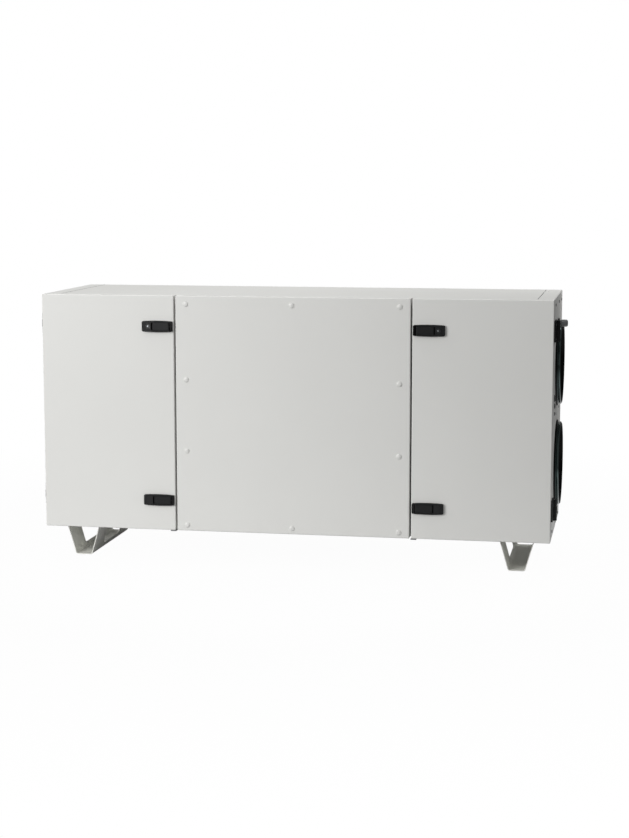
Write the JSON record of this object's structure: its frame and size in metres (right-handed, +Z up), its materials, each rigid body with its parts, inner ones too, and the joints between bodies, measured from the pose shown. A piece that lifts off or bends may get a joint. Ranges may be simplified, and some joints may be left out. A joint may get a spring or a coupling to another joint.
{
  "type": "air handling unit",
  "caption": "Horizontal insulated air handling unit on folded runners, with hinged latched service doors and round duct spigots, one above the other, at both ends.",
  "frame": {"origin": "on the floor, under the middle of the overall box", "axes": "+X to the right along the casing's length, seen from the front; +Y to the back; +Z up"},
  "size_m": [1.9765, 0.6176, 1.007],
  "materials": {
    "casing_paint": "fine satin powder coat, light grey",
    "runner_paint": "satin powder coat, light grey",
    "liner_steel": "galvanised sheet",
    "moulded_black": "moulded glass-filled polyamide, fine grain",
    "collar_black": "smooth black moulding",
    "rubber": "black seal rubber",
    "dark_steel": "dark grey coated steel",
    "grey_plastic": "moulded grey polyamide",
    "filter_card": "filter frame and pleated media"
  },
  "bodies": {
    "casing": {"base_panel": "casing_paint", "top_panel": "casing_paint", "back_panel_left": "casing_paint", "back_panel_center": "casing_paint", "back_panel_right": "casing_paint", "end_wall_left": "casing_paint", "end_wall_right": "casing_paint", "center_panel": "casing_paint", "bulkhead_left": "liner_steel", "bulkhead_right": "liner_steel", "divider_left": "liner_steel", "divider_right": "liner_steel", "filter_cassette_left": "filter_card", "filter_cassette_right": "filter_card", "door_gasket_left": "rubber", "door_gasket_right": "rubber", "door_rest_left": "dark_steel", "door_rest_right": "dark_steel", "duct_collar_left_upper": "collar_black", "duct_collar_left_lower": "collar_black", "duct_collar_right_upper": "collar_black", "duct_collar_right_lower": "collar_black", "duct_seal_left_upper": "rubber", "duct_seal_left_lower": "rubber", "duct_seal_right_upper": "rubber", "duct_seal_right_lower": "rubber", "cable_gland": "grey_plastic", "foot_runner_left": "runner_paint", "foot_runner_right": "runner_paint", "hinge_fixed_left_upper": "moulded_black", "hinge_fixed_left_lower": "moulded_black", "hinge_fixed_right_upper": "moulded_black", "hinge_fixed_right_lower": "moulded_black"},
    "left_door": {"door_left": "casing_paint", "hinge_moving_left_upper": "moulded_black", "hinge_moving_left_lower": "moulded_black", "latch_housing_left_upper": "moulded_black", "latch_housing_left_lower": "moulded_black"},
    "right_door": {"door_right": "casing_paint", "hinge_moving_right_upper": "moulded_black", "hinge_moving_right_lower": "moulded_black", "latch_housing_right_upper": "moulded_black", "latch_housing_right_lower": "moulded_black"},
    "left_upper_lever": {"latch_lever_left_upper": "moulded_black"},
    "left_lower_lever": {"latch_lever_left_lower": "moulded_black"},
    "right_upper_lever": {"latch_lever_right_upper": "moulded_black"},
    "right_lower_lever": {"latch_lever_right_lower": "moulded_black"}
  },
  "joints": [
    {"name": "left_door_swing", "type": "hinge", "parent": "casing", "child": "left_door", "pos_m": [-0.97825, -0.23725, 0.5645], "axis": [0, 0, -1], "range_deg": [0, 120]},
    {"name": "right_door_swing", "type": "hinge", "parent": "casing", "child": "right_door", "pos_m": [0.95575, -0.23725, 0.5645], "axis": [0, 0, 1], "range_deg": [0, 120]},
    {"name": "left_upper_lever_pull", "type": "hinge", "parent": "left_door", "child": "left_upper_lever", "pos_m": [-0.47565, -0.30435, 0.892], "axis": [0, 0, 1], "range_deg": [0, 75]},
    {"name": "left_lower_lever_pull", "type": "hinge", "parent": "left_door", "child": "left_lower_lever", "pos_m": [-0.47565, -0.30435, 0.237], "axis": [0, 0, 1], "range_deg": [0, 75]},
    {"name": "right_upper_lever_pull", "type": "hinge", "parent": "right_door", "child": "right_upper_lever", "pos_m": [0.45315, -0.30435, 0.892], "axis": [0, 0, -1], "range_deg": [0, 75]},
    {"name": "right_lower_lever_pull", "type": "hinge", "parent": "right_door", "child": "right_lower_lever", "pos_m": [0.45315, -0.30435, 0.237], "axis": [0, 0, -1], "range_deg": [0, 75]}
  ]
}
